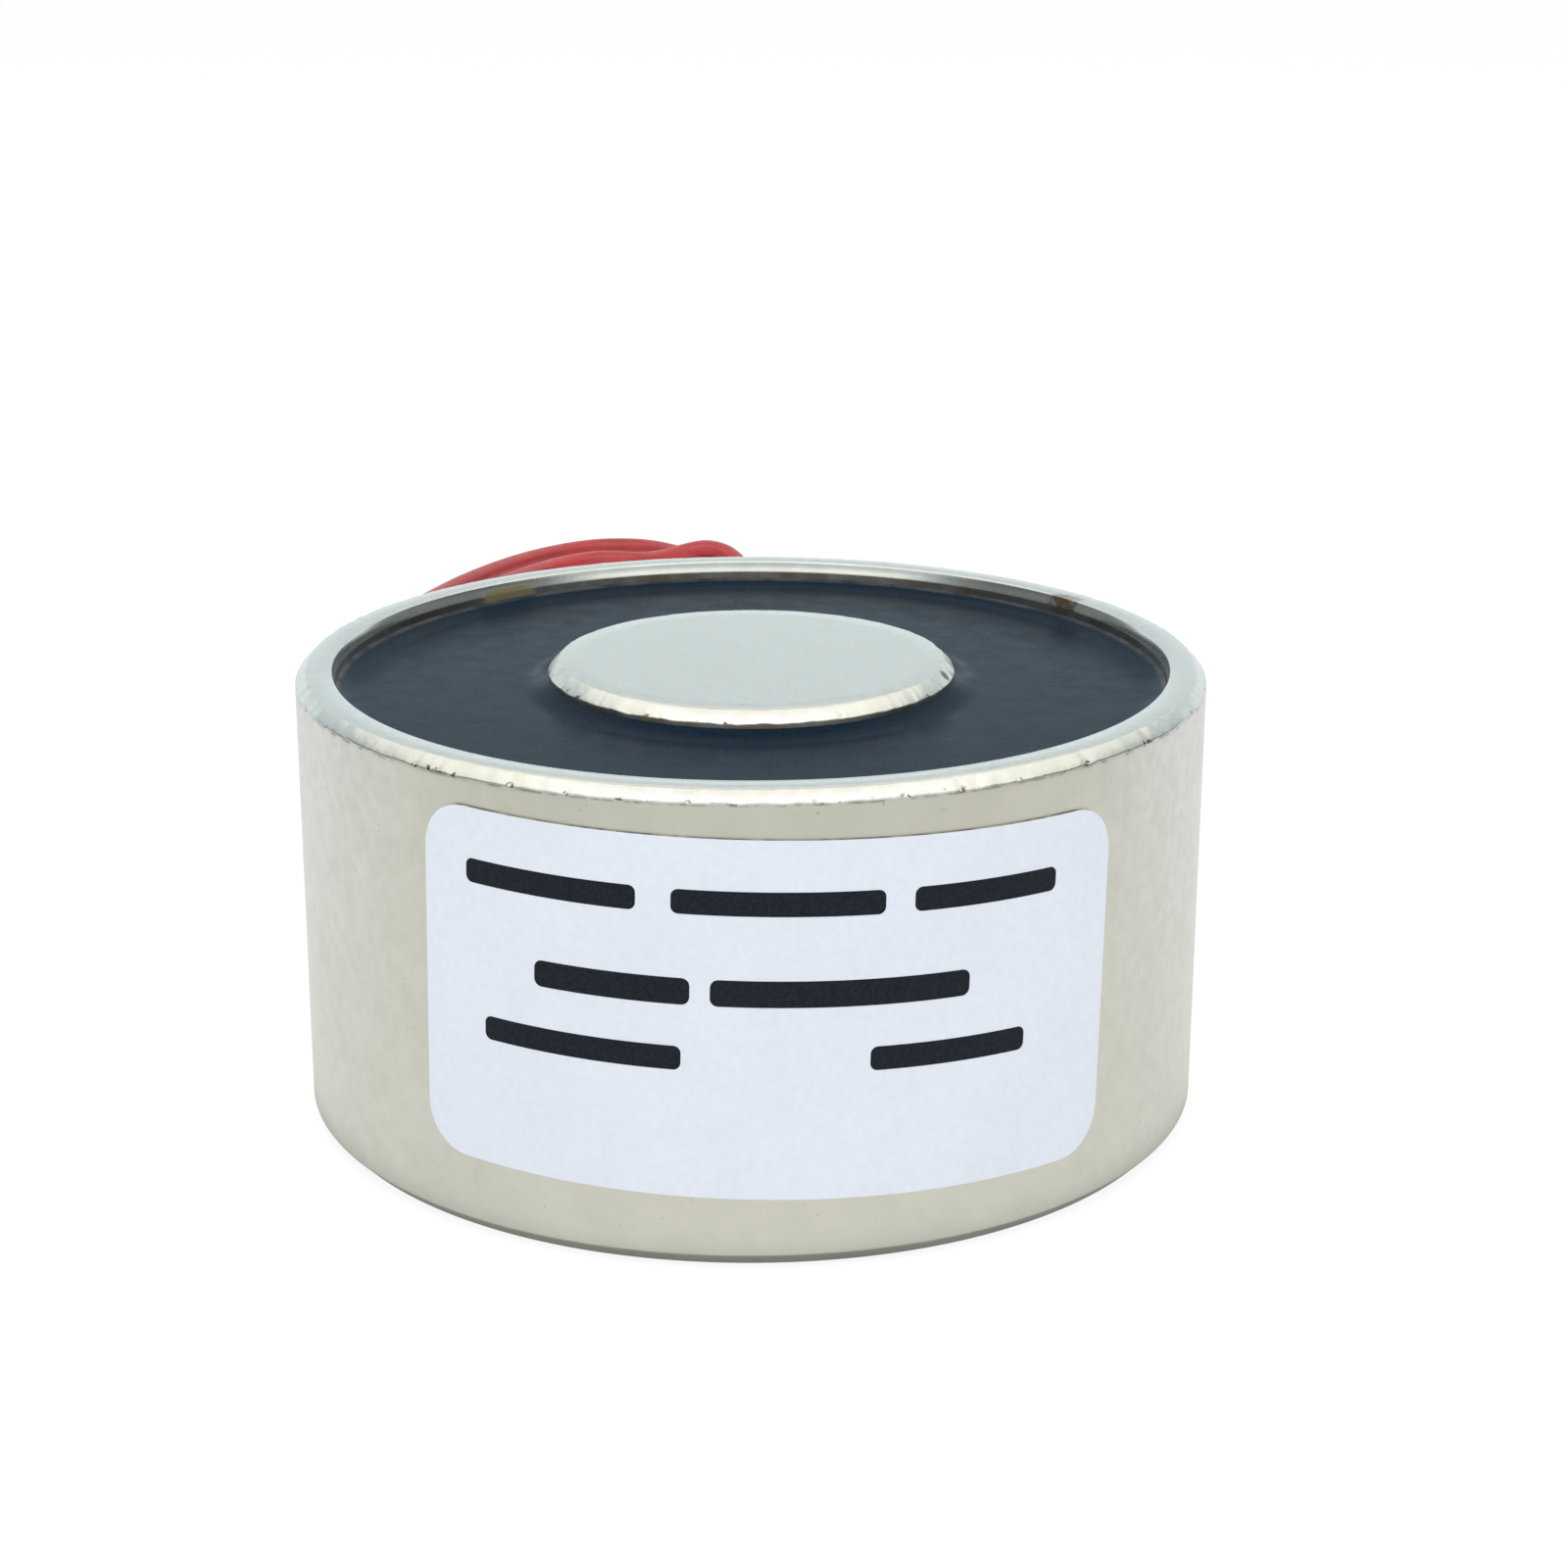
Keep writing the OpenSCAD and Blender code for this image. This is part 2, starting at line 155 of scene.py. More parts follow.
class MagnetYoke(bpy.types.PropertyGroup):
    """Sizes of the turned iron cup."""

    radius: length("Radius", YOKE_HIGH.x, "Outer radius of the cup")
    height: length("Height", YOKE_HIGH.z, "Height of the cup")
    groove: length("Groove radius", RESIN_HIGH.x, "Radius of the ring's inner wall")
    floor: length("Groove floor", RESIN_LOW.z, "Height of the groove's floor")
    pole: length("Pole radius", 9 * MM, "Radius of the centre pole")
    rim_chamfer: length("Rim chamfer", 0.45 * MM, "Chamfer on the outer edge of the holding face")
    lip_chamfer: length("Lip chamfer", 0.5 * MM, "Height of the steep chamfer on the inner edge of the ring")
    lip_width: length("Lip width", 0.1 * MM, "Width of that chamfer")
    pole_chamfer: length("Pole chamfer", 0.5 * MM, "Chamfer round the pole face")
    foot_chamfer: length("Foot chamfer", 0.6 * MM, "Chamfer round the mounting face")
    edge_round: length("Edge round", 0.05 * MM, "Rounding of each turned edge")
    chip: length("Chip depth", 0.04 * MM, "Depth of the chips on the rim chamfer")
    ragged: length("Ragged edge", 0.05 * MM, "Unevenness of the chamfers' edges")
    outlet: length("Outlet radius", 2.4 * MM, "Radius of the hole that the leads leave by")
    outlet_height: length("Outlet height", 7.8 * MM, "Height of the outlet's centre")
    outlet_flare: length("Outlet flare", 0.3 * MM, "Width of the outlet's broken edge")
    steps: IntProperty(name="Steps", description="Steps round the axis", default=720, min=96)


class MagnetThread(bpy.types.PropertyGroup):
    """Sizes of the tapped hole."""

    core: length("Core radius", 2.1 * MM, "Radius at the thread's crests")
    root: length("Root radius", 2.5 * MM, "Radius at the thread's roots")
    mouth: length("Mouth radius", 2.7 * MM, "Radius of the countersink at the mounting face")
    pitch: length("Pitch", 0.8 * MM, "Rise of the thread in one turn")
    depth: length("Threaded depth", 7 * MM, "Height of the last full turn")
    drill: length("Drilled depth", 8 * MM, "Height where the drill point starts")
    drill_angle: angle("Drill angle", 118, "Angle of the drill point")


class MagnetLabel(bpy.types.PropertyGroup):
    """Sizes of the label and its print."""

    width: length("Width", 30 * MM, "Length along the wall")
    height: length("Height", 15 * MM, "Height of the label")
    corner: length("Corner", 2 * MM, "Corner radius")
    thick: length("Thickness", 0.1 * MM, "Thickness of the paper")
    ink: length("Ink", 0.008 * MM, "Thickness of the print")
    drop: length("Drop", 1.9 * MM, "Distance from the holding face to the label")
    turn: angle("Turn", 2.4, "Turn away from the front")
    slope: angle("Slope", 1.4, "Slope along the wall")


class MagnetLeads(bpy.types.PropertyGroup):
    """Sizes of the leads."""

    diameter: length("Diameter", 1.4 * MM, "Diameter of each insulated lead")
    gap: length("Gap", 0.3 * MM, "Gap between the leads in the outlet")
    sleeve_axis: length("Splice radius", 16.2 * MM, "Distance of the splices from the axis")
    sleeve_turn: angle("Splice turn", 24, "Angle from the outlet to a splice")
    grip: length("Grip", 2.25 * MM, "Distance from a splice's middle to its lead's end")
    tip: length("Tip diameter", 0.7 * MM, "Diameter of the bare strands")
    tip_length: length("Tip length", 6 * MM, "Length of the bare strands")
    strand_twist: angle("Twist", 300, "Twist of the strands along a tip")


class MagnetColours(bpy.types.PropertyGroup):
    """Linear colours of the finishes."""

    nickel: colour("Nickel", (0.64, 0.635, 0.585), "Satin nickel plate")
    chip: colour("Bare iron", (0.10, 0.075, 0.05), "Iron in the chips")
    stain: colour("Stain", (0.23, 0.20, 0.085), "Flux stain on the inner wall")
    rust: colour("Rust", (0.25, 0.15, 0.085), "Rust on the rear rim")
    resin: colour("Resin", (0.009, 0.020, 0.034), "Cast resin")
    paper: colour("Paper", (0.82, 0.865, 0.955), "Label paper")
    ink: colour("Ink", (0.010, 0.013, 0.020), "Print on the label")
    red: colour("Lead cover", (0.465, 0.044, 0.046), "Lead insulation")
    tin: colour("Tin", (0.62, 0.62, 0.63), "Tinned strands and solder")
    copper: colour("Copper", (0.50, 0.17, 0.06), "Enamelled copper wire")
    former: colour("Former", (0.80, 0.77, 0.68), "Moulded coil former")
    tape: colour("Tape", (0.70, 0.45, 0.03), "Tape round the winding")
    sleeve: colour("Sleeve", (0.012, 0.012, 0.014), "Sleeves over the splices")


class MagnetStage(bpy.types.PropertyGroup):
    """Camera, lights and floor."""

    camera: point("Camera", (0, -129.712 * MM, 54.662 * MM), "Place of the camera")
    aim: point("Aim", (1.455 * MM, 0, 14.087 * MM), "Point in the middle of the picture")
    roll: angle("Roll", 0.145, "Turn about the view")
    lens: FloatProperty(
        name="Lens", description="Focal length in millimetres on a 36 mm sensor", default=69.54
    )
    floor_size: length("Floor", 4.0, "Half the width of the floor")
    box_size: length("Soft box", 0.55, "Width of the soft box overhead")
    box_height: length("Soft box height", 0.45, "Height of the soft box")
    box_power: FloatProperty(
        name="Soft box power", description="Power of the soft box", default=1.35, unit="POWER"
    )
    sky: FloatProperty(name="Sky", description="Strength of the room light", default=0.7)


class Nodes:
    """A node tree, built a node at a time."""

    def __init__(self, tree):
        self.tree = tree

    def set(self, node, inputs):
        """Sets or links a node's inputs."""
        for key, value in inputs.items():
            if isinstance(value, bpy.types.NodeSocket):
                self.tree.links.new(value, node.inputs[key])
            else:
                node.inputs[key].default_value = value

    def node(self, kind, inputs=None, **settings):
        """Adds a node."""
        made = self.tree.nodes.new(kind)
        for key, value in settings.items():
            setattr(made, key, value)
        self.set(made, inputs or {})
        return made

    def math(self, operation, a, b=0.0, c=0.0):
        return self.node("ShaderNodeMath", {0: a, 1: b, 2: c}, operation=operation).outputs[0]

    def vector(self, operation, inputs, out="Vector"):
        return self.node("ShaderNodeVectorMath", inputs, operation=operation).outputs[out]

    def fade(self, value, low, high, to_low=0.0, to_high=1.0, kind="SMOOTHSTEP"):
        """Step from one value to another."""
        inputs = {"Value": value, "From Min": low, "From Max": high, "To Min": to_low, "To Max": to_high}
        return self.node("ShaderNodeMapRange", inputs, interpolation_type=kind).outputs[0]

    def blend(self, factor, one, other, kind="MIX"):
        """Mixes two colours."""
        inputs = {0: factor, 6: one, 7: other}
        return self.node("ShaderNodeMix", inputs, data_type="RGBA", blend_type=kind).outputs[2]

    def ramp(self, value, tones):
        """Colour that runs through tones at the given values."""
        made = self.node("ShaderNodeValToRGB", {"Fac": value})
        stops = made.color_ramp.elements
        (first, low), *between, (last, high) = tones.items()
        stops[0].position, stops[0].color = first, (*low, 1)
        stops[1].position, stops[1].color = last, (*high, 1)
        for at, tone in between:
            stops.new(at).color = (*tone, 1)
        return made.outputs["Color"]

    def seen_directly(self, path):
        """One for rays from the camera, from metal and through glass."""
        seen = path["Is Camera Ray"]
        for kind in ("Is Glossy Ray", "Is Transmission Ray"):
            seen = self.math("MAXIMUM", seen, path[kind])
        return seen

    def show(self, kind, factor, one, other):
        """Ends the tree with a mix of two shaders."""
        both = self.node("ShaderNodeMixShader", {0: factor, 1: one.outputs[0], 2: other.outputs[0]})
        self.node(kind, {"Surface": both.outputs[0]})


class Finish(Nodes):
    """The material of one finish."""

    def __init__(self, name, colour, roughness, metallic=0.0):
        self.material = bpy.data.materials.new(name)
        self.material.use_nodes = True
        super().__init__(self.material.node_tree)
        self.shader = self.tree.nodes["Principled BSDF"]
        self.set(self.shader, {"Roughness": roughness, "Metallic": metallic})
        self.colour = (*colour, 1.0)
        self.place = self.node("ShaderNodeTexCoord").outputs["Object"]

    def axis(self, name):
        """One coordinate of the place on the object."""
        return self.node("ShaderNodeSeparateXYZ", {0: self.place}).outputs[name]

    def grain(self, size, detail=3.0, stretch=(1, 1, 1)):
        """Noise whose features are about the given size in metres."""
        place = self.node("ShaderNodeMapping", {"Vector": self.place, "Scale": stretch}).outputs[0]
        inputs = {"Vector": place, "Scale": 1 / size, "Detail": detail, "Roughness": 0.55}
        return self.node("ShaderNodeTexNoise", inputs).outputs["Fac"]

    def spot(self, centre, inner, outer):
        """One inside a ball round a point, fading to nothing."""
        away = self.vector("DISTANCE", {0: self.place, 1: centre}, "Value")
        return self.fade(away, inner, outer, 1.0, 0.0)

    def radius(self):
        """Distance from the axis."""
        flat = self.vector("MULTIPLY", {0: self.place, 1: (1, 1, 0)})
        return self.vector("LENGTH", {0: flat}, "Value")

    def mix(self, factor, other, kind="MIX"):
        """Mixes a colour into the finish's own."""
        self.colour = self.blend(factor, self.colour, other, kind)

    def tint(self, factor, light, dark):
        """Multiplies the finish's colour by something between two greys."""
        shade = self.fade(factor, 0.3, 0.7, dark, light)
        grey = self.node("ShaderNodeCombineColor", {0: shade, 1: shade, 2: shade}).outputs[0]
        self.mix(1.0, grey, "MULTIPLY")

    def bump(self, height, depth):
        """Adds relief of about the given depth in metres."""
        inputs = {"Height": height, "Strength": 1.0, "Distance": depth}
        if self.shader.inputs["Normal"].is_linked:
            inputs["Normal"] = self.shader.inputs["Normal"].links[0].from_socket
        self.set(self.shader, {"Normal": self.node("ShaderNodeBump", inputs).outputs[0]})

    def done(self):
        self.set(self.shader, {"Base Color": self.colour})
        return self.material


def nickel_wall(c):
    """Satin plate on the outer wall, with fine specks and a broken dark line under the chamfer."""
    f = Finish("satin_nickel_wall", c.nickel, 0.42, 1.0)
    f.tint(f.grain(2.5 * MM), 1.015, 0.97)
    specks = f.fade(f.grain(0.25 * MM, 2), 0.70, 0.78, 0.0, 0.3)
    f.mix(specks, (*c.chip, 1))
    below = f.fade(f.axis("Z"), 19.36 * MM, 19.48 * MM)
    broken = f.fade(f.grain(0.6 * MM, 3), 0.42, 0.66, 0.08, 0.6)
    f.mix(f.math("MULTIPLY", below, broken), (*c.chip, 1))
    f.set(f.shader, {"Roughness": f.fade(f.grain(0.6 * MM), 0.3, 0.7, 0.38, 0.47)})
    f.bump(f.grain(0.16 * MM, 4), 0.004 * MM)
    return f.done()


def rust_smudge(f, c, share):
    """Browns the rear rim on one side."""
    smudge = f.math("MULTIPLY", f.spot(RUST_AT, 0.3 * MM, 2.2 * MM), f.grain(0.5 * MM))
    f.mix(f.fade(smudge, 0.2, 0.5, 0.0, share), (*c.rust, 1))


def nickel_face(c):
    """Ground plate on the pole face and the rim."""
    f = Finish("ground_nickel_face", c.nickel, 0.4, 1.0)
    f.tint(f.grain(1.6 * MM), 1.01, 0.98)
    f.tint(f.grain(0.14 * MM, 4), 1.03, 0.96)
    rust_smudge(f, c, 0.75)
    f.set(f.shader, {"Roughness": f.fade(f.grain(0.5 * MM), 0.3, 0.7, 0.26, 0.33)})
    f.bump(f.grain(0.12 * MM, 4), 0.0015 * MM)
    return f.done()


def nickel_back(c):
    """Plate over the turning marks of the mounting face."""
    f = Finish("turned_nickel_back", c.nickel, 0.4, 1.0)
    inputs = {"Vector": f.place, "Scale": 1 / (4 * MM), "Distortion": 0.15}
    marks = f.node("ShaderNodeTexWave", inputs, wave_type="RINGS", rings_direction="Z").outputs["Fac"]
    f.tint(marks, 1.02, 0.93)
    f.tint(f.grain(1.6 * MM), 1.02, 0.95)
    f.set(f.shader, {"Roughness": f.fade(f.grain(0.5 * MM), 0.3, 0.7, 0.36, 0.46)})
    f.bump(marks, 0.012 * MM)
    return f.done()


def nickel_edge(c, y):
    """Plate on the chamfers, chipped through to the iron along their lower edges."""
    f = Finish("chipped_nickel_edge", c.nickel, 0.32, 1.0)
    f.tint(f.grain(0.7 * MM), 1.03, 0.95)
    low = f.fade(f.axis("Z"), 19.72 * MM, 19.6 * MM)
    lower = f.math("MULTIPLY", low, f.fade(f.axis("Z"), 1 * MM, 2 * MM))
    places = f.math("MULTIPLY", lower, f.fade(f.grain(2.2 * MM, 1), 0.5, 0.6))
    f.mix(f.math("MULTIPLY", places, f.fade(f.grain(0.35 * MM, 3), 0.57, 0.63)), (*c.chip, 1))
    torn = f.fade(f.grain(0.22 * MM, 2), 0.42, 0.56, 0.0, 0.9)
    for turn, wide in CHIPS:
        a = math.radians(turn)
        centre = (y.radius * math.sin(a), -y.radius * math.cos(a), y.height - y.rim_chamfer)
        f.mix(f.math("MULTIPLY", f.spot(centre, 0.35 * wide * MM, 0.7 * wide * MM), torn), (*c.chip, 1))
    f.mix(f.spot(NOTCH_AT, 0.18 * MM, 0.36 * MM), (*c.chip, 1))
    rust_smudge(f, c, 0.85)
    f.bump(f.grain(0.22 * MM, 4), 0.012 * MM)
    return f.done()


def flux_stain(f, c):
    """Yellows a patch of the ring's inner edge and of the wall below it."""
    below = f.fade(f.axis("Z"), 19.9 * MM, 19.7 * MM)
    place = f.math("MULTIPLY", f.spot(STAIN_AT, 0.7 * MM, 2.3 * MM), below)
    cover = f.fade(f.math("MULTIPLY", place, f.grain(0.5 * MM)), 0.12, 0.42, 0.0, 0.9)
    f.mix(cover, (*c.stain, 1))
    f.set(f.shader, {"Metallic": f.math("SUBTRACT", 1.0, cover)})


def nickel_lip(c):
    """Clean plate on the inner edge of the ring, stained in two places."""
    f = Finish("clean_nickel_lip", c.nickel, 0.22, 1.0)
    f.tint(f.grain(0.9 * MM), 1.02, 0.95)
    rust_smudge(f, c, 0.9)
    flux_stain(f, c)
    f.bump(f.grain(0.3 * MM, 3), 0.004 * MM)
    return f.done()


def nickel_groove(c):
    """Dark plate on the walls of the groove and the pole, its darkness painted shade of the recess, with
    brown blotches.
    """
    # Painted shade: the plate is darker than the nickel where the groove's walls lie in shade.
    f = Finish("painted_shade_groove_wall", (0.27, 0.265, 0.25), 0.45, 1.0)
    f.tint(f.grain(0.9 * MM), 1.1, 0.8)
    f.mix(f.fade(f.grain(2.4 * MM, 2), 0.45, 0.65, 0.0, 0.7), (0.20, 0.15, 0.09, 1))
    flux_stain(f, c)
    f.bump(f.grain(0.2 * MM, 4), 0.01 * MM)
    return f.done()


def cast_resin(c):
    """Satin potting resin with faint dust, and a painted highlight of its meniscus as a paler band against
    the ring.
    """
    f = Finish("satin_potting_resin", c.resin, 0.26)
    f.tint(f.grain(4 * MM), 1.06, 0.94)
    f.tint(f.grain(0.16 * MM, 4), 1.2, 0.82)
    # Painted highlight: the resin is paler in a band against the ring, standing in for light on its meniscus.
    edge = f.fade(f.radius(), 18.0 * MM, 18.2 * MM)
    painted_meniscus_highlight = f.math("MULTIPLY", edge, f.fade(f.grain(1.5 * MM), 0.35, 0.6, 0.35, 0.9))
    f.mix(painted_meniscus_highlight, (0.085, 0.088, 0.092, 1))
    f.set(f.shader, {"Specular IOR Level": 0.025})
    f.set(f.shader, {"Roughness": f.fade(f.grain(1.2 * MM), 0.3, 0.7, 0.22, 0.3)})
    f.bump(f.grain(0.25 * MM, 4), 0.004 * MM)
    f.bump(f.grain(3 * MM, 2), 0.012 * MM)
    return f.done()


def label_paper(c):
    """Coated paper with faint fibres."""
    f = Finish("coated_label_paper", c.paper, 0.6)
    f.set(f.shader, {"Specular IOR Level": 0.3})
    f.tint(f.grain(0.35 * MM, 4), 1.01, 0.975)
    f.tint(f.grain(5 * MM, 2), 1.01, 0.985)
    f.bump(f.grain(0.2 * MM, 4, (1, 1, 2)), 0.006 * MM)
    return f.done()


def label_edge():
    """Cut edge of the paper, with grime on its adhesive."""
    f = Finish("grimy_label_edge", (0.16, 0.14, 0.11), 0.7)
    f.tint(f.grain(0.6 * MM, 4), 2.6, 0.5)
    f.bump(f.grain(0.2 * MM), 0.01 * MM)
    return f.done()


def label_ink(c):
    """Black print with a slightly uneven film."""
    f = Finish("black_label_ink", c.ink, 0.6)
    f.set(f.shader, {"Specular IOR Level": 0.15})
    f.tint(f.grain(0.15 * MM, 4), 1.4, 0.7)
    f.bump(f.grain(0.2 * MM), 0.004 * MM)
    return f.done()


def red_cover(c):
    """Soft vinyl over the strands, with faint scuffs."""
    f = Finish("red_vinyl_cover", c.red, 0.38)
    f.tint(f.grain(4 * MM, 2), 1.12, 0.88)
    f.tint(f.grain(0.3 * MM, 4), 1.06, 0.94)
    f.set(f.shader, {"Roughness": f.fade(f.grain(0.9 * MM), 0.3, 0.7, 0.32, 0.46)})
    f.bump(f.grain(0.5 * MM, 3), 0.01 * MM)
    return f.done()


def plain_metal(name, colour, roughness, size):
    """Metal with a fine, uneven skin."""
    f = Finish(name, colour, roughness, 1.0)
    f.tint(f.grain(size, 4), 1.08, 0.85)
    f.bump(f.grain(size, 3), 0.01 * MM)
    return f.done()


def plain_plastic(name, colour, roughness, size):
    """Plastic with a fine, uneven skin."""
    f = Finish(name, colour, roughness)
    f.tint(f.grain(size, 4), 1.08, 0.88)
    f.bump(f.grain(size, 3), 0.01 * MM)
    return f.done()


def wound_copper(c):
    """Layers of round wire, seen as fine ridges up the winding, with painted shade in the bands between the
    turns.
    """
    f = Finish("wound_copper", c.copper, 0.35, 1.0)
    inputs = {"Vector": f.place, "Scale": 1 / (2.6 * MM), "Distortion": 0.4}
    turns = f.node("ShaderNodeTexWave", inputs, bands_direction="Z").outputs["Fac"]
    # Painted shade: the colour darkens with the ridges, between the turns of wire.
    f.tint(turns, 1.1, 0.6)
    f.bump(turns, 0.1 * MM)
    return f.done()


def dress(node, material):
    """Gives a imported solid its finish."""
    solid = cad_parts[node]
    solid.data.materials.clear()
    solid.data.materials.append(material)


def spun(outline, steps):
    """Solid of revolution round Z from an outline of radius and height that ends on the axis."""
    bm = bmesh.new()
    verts = [bm.verts.new((r, 0, z)) for r, z in outline]
    edges = [bm.edges.new(pair) for pair in zip(verts, verts[1:])]
    bmesh.ops.spin(
        bm, geom=verts + edges, cent=(0, 0, 0), axis=(0, 0, 1), angle=2 * math.pi, steps=steps, use_merge=True
    )
    bmesh.ops.remove_doubles(bm, verts=bm.verts[:], dist=1e-8)
    bmesh.ops.recalc_face_normals(bm, faces=bm.faces[:])
    return bm


def piece(name, bm, materials, replaces=(), sharp=math.radians(35)):
    """Turns a bmesh into a piece of the object."""
    mesh = bpy.data.meshes.new(name)
    bm.to_mesh(mesh)
    bm.free()
    for material in materials:
        mesh.materials.append(material)
    mesh.shade_smooth()
    mesh.set_sharp_from_angle(angle=sharp)
    made = bpy.data.objects.new(name, mesh)
    bpy.context.scene.collection.objects.link(made)
    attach(made, "root")
    if replaces:
        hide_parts(*replaces)
    return made


def ring_radius(point):
    return math.hypot(point.x, point.y)


def yoke_outline(y, t):
    """Outline of the cup, from the drill point round to the middle of the pole face."""
    tip = t.drill + t.core / math.tan(t.drill_angle / 2)
    below_rim = [(y.radius, y.height - k * y.rim_chamfer) for k in GUARD_RINGS]
    below_pole = [(y.pole, y.height - k * y.pole_chamfer) for k in GUARD_RINGS]
    return [
        (0, tip),
        (t.core, t.drill),
        (t.core, t.depth),
        (t.root, t.depth),
        (t.root, t.mouth - t.root),
        (t.mouth, 0),
        (y.radius - y.foot_chamfer, 0),
        (y.radius, y.foot_chamfer),
        *below_rim,
        (y.radius, y.height - y.rim_chamfer),
        (y.radius - y.rim_chamfer, y.height),
        (y.groove + y.lip_width, y.height),
        (y.groove, y.height - y.lip_chamfer),
        (y.groove, y.floor),
        (y.pole, y.floor),
        *below_pole,
        (y.pole, y.height - y.pole_chamfer),
        (y.pole - y.pole_chamfer, y.height),
        (y.pole - 3 * y.pole_chamfer, y.height),
        (0, y.height),
    ]


def round_edges(bm, corners, width):
    """Rounds the turned edges that lie on the given corners of the outline."""
    near = 1e-6
    edges = []
    for edge in bm.edges:
        a, b = (v.co for v in edge.verts)
        if abs(a.z - b.z) < near and abs(ring_radius(a) - ring_radius(b)) < near:
            if any(abs(a.z - z) < near and abs(ring_radius(a) - r) < near for r, z in corners):
                edges.append(edge)
    bmesh.ops.bevel(
        bm, geom=edges, offset=width, offset_type="OFFSET", affect="EDGES", segments=2, profile=0.5,
        material=-1, clamp_overlap=True,
    )


def wear_edges(bm, y):
    """Makes the edges of the rim and the pole chamfer ragged and sinks the rim's larger chips."""
    chips = [(math.radians(turn), wide * MM) for turn, wide in CHIPS]
    for radius, chamfer in ((y.radius, y.rim_chamfer), (y.pole, y.pole_chamfer)):
        inner, lowest = radius - 1.3 * chamfer, y.height - 1.3 * chamfer
        for v in bm.verts:
            out = ring_radius(v.co)
            if v.co.z < lowest or not inner < out < radius + y.edge_round:
                continue
            across = Vector((v.co.x, v.co.y, 0)) / out
            low = min(1, max(0, (y.height - v.co.z) / chamfer))
            place = across * radius / (0.8 * MM)
            back = y.ragged * (noise.noise(place) + 0.4 * noise.noise(3 * place))
            if radius == y.radius:
                turn = math.atan2(across.x, -across.y)
                sunk = sum(max(0, 1 - (2 * radius * abs(turn - a) / wide) ** 2) for a, wide in chips)
                back += y.chip * sunk
            v.co.z -= low * back
            v.co -= across * (1 - low) * back


def cut_outlet(made, y):
    """Bores the leads' outlet through the ring, with a broken edge outside."""
    inside = y.radius - 2 * (y.radius - y.groove)
    edge = y.radius - y.outlet_flare / 2
    past = y.radius + y.outlet_flare
    bm = spun(
        [(0, inside), (y.outlet, inside), (y.outlet, edge), (y.outlet + past - edge, past), (0, past)], 96
    )
    bmesh.ops.rotate(bm, verts=bm.verts[:], matrix=Matrix.Rotation(-math.pi / 2, 3, "X"))
    bmesh.ops.translate(bm, verts=bm.verts[:], vec=(0, 0, y.outlet_height))
    bmesh.ops.recalc_face_normals(bm, faces=bm.faces[:])
    mesh = bpy.data.meshes.new("outlet_cutter")
    bm.to_mesh(mesh)
    bm.free()
    cutter = bpy.data.objects.new("outlet_cutter", mesh)
    bpy.context.scene.collection.objects.link(cutter)
    boolean = made.modifiers.new("outlet", "BOOLEAN")
    boolean.object = cutter
    boolean.solver = "EXACT"
    whole = bpy.data.meshes.new_from_object(made.evaluated_get(bpy.context.evaluated_depsgraph_get()))
    made.modifiers.clear()
    made.data = whole
    bpy.data.objects.remove(cutter)


